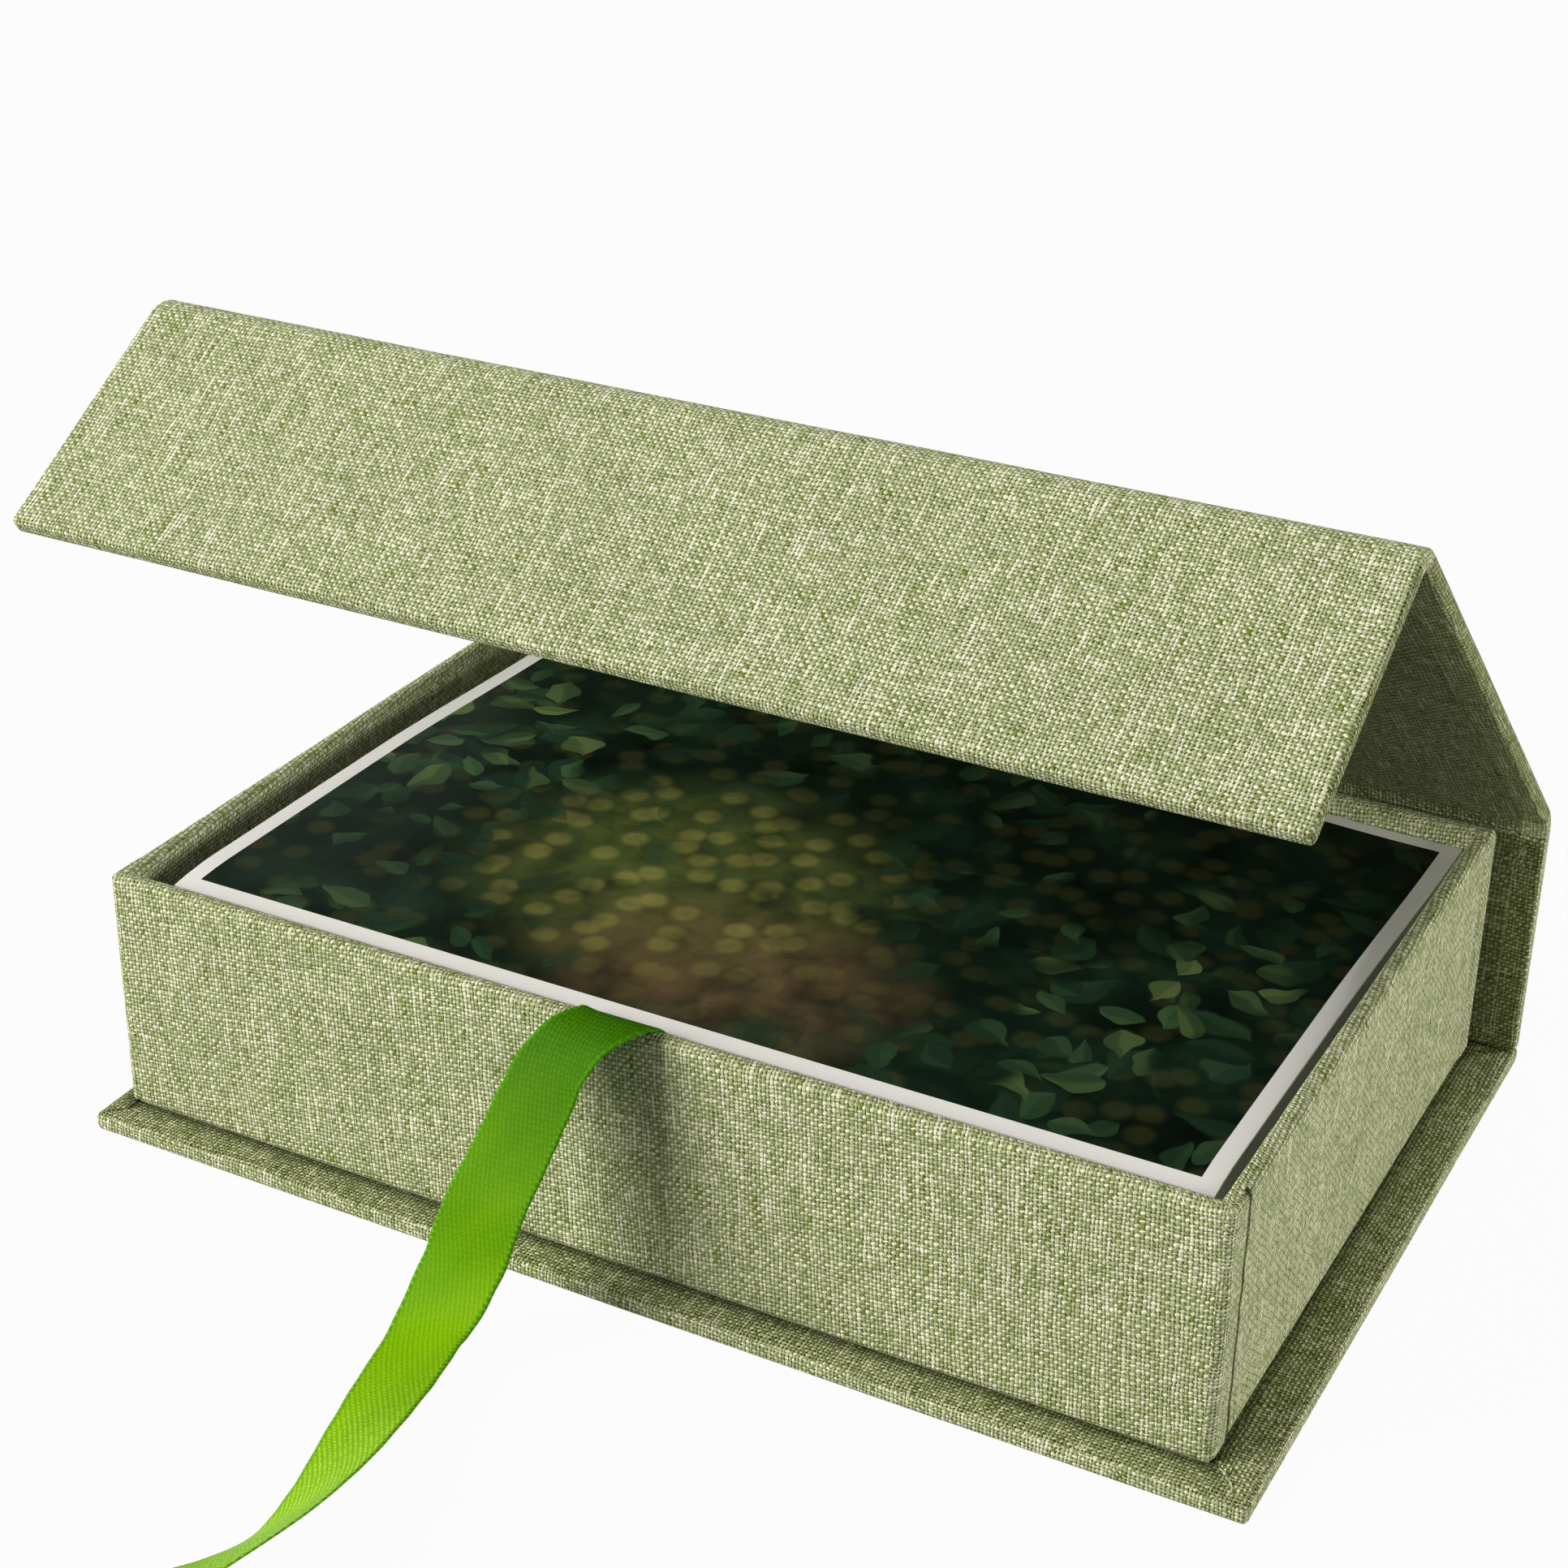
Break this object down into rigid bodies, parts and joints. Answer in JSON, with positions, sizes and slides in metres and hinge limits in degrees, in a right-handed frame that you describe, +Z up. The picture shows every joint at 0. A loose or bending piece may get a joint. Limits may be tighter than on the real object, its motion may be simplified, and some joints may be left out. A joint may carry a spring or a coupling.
{
  "type": "photo storage box",
  "caption": "Cloth-covered photo box with a hinged lid, a magnetic front flap, a lift ribbon and a stack of prints.",
  "frame": {"origin": "middle of the base's underside", "axes": "+X to the right along the front, +Y to the back where the hinge is, +Z up"},
  "size_m": [0.1734, 0.2097, 0.1146],
  "materials": {
    "greyboard": "pressed grey bookbinding board",
    "linen_cloth": "plain-weave linen book cloth, green slub on cream",
    "lining_cloth": "the same linen, pasted flat as a lining",
    "infill_card": "thin matt card",
    "print_paper": "cut edges of photographic prints",
    "picture_paper": "semi-gloss print, dark foliage inside a white border",
    "magnet_nickel": "nickel-plated disc magnet",
    "plate_steel": "zinc-plated steel disc",
    "satin_ribbon": "woven satin, bright green"
  },
  "bodies": {
    "box": {"base_board": "greyboard", "base_cloth": "linen_cloth", "base_infill": "infill_card", "floor_lining": "lining_cloth", "lid_hinge_cloth": "linen_cloth", "lid_hinge_lining": "lining_cloth", "print_bundle_1": "print_paper", "print_bundle_2": "print_paper", "print_bundle_3": "print_paper", "print_bundle_4": "print_paper", "print_bundle_5": "print_paper", "ribbon": "satin_ribbon", "spine_board": "greyboard", "spine_cloth": "linen_cloth", "spine_liner": "lining_cloth", "top_print": "picture_paper", "tray_back_wall": "greyboard", "tray_cloth": "linen_cloth", "tray_floor": "greyboard", "tray_front_wall": "greyboard", "tray_left_wall": "greyboard", "tray_right_wall": "greyboard", "wall_plate_left": "plate_steel", "wall_plate_right": "plate_steel"},
    "lid": {"lid_board": "greyboard", "lid_cloth": "linen_cloth", "lid_liner": "lining_cloth", "flap_hinge_cloth": "linen_cloth", "flap_hinge_lining": "lining_cloth"},
    "flap": {"flap_board": "greyboard", "flap_cloth": "linen_cloth", "flap_liner": "lining_cloth", "flap_magnet_left": "magnet_nickel", "flap_magnet_right": "magnet_nickel"}
  },
  "joints": [
    {"name": "lid_hinge", "type": "hinge", "parent": "box", "child": "lid", "pos_m": [0, 0.05735, 0.0413], "axis": [-1, 0, 0], "range_deg": [-40, 154], "deforming": ["lid_hinge_cloth", "lid_hinge_lining", "ribbon"]},
    {"name": "flap_hinge", "type": "hinge", "parent": "lid", "child": "flap", "pos_m": [0, -0.02914, 0.11387], "axis": [1, 0, 0], "range_deg": [-72, 18], "deforming": ["flap_hinge_cloth", "flap_hinge_lining"]}
  ]
}
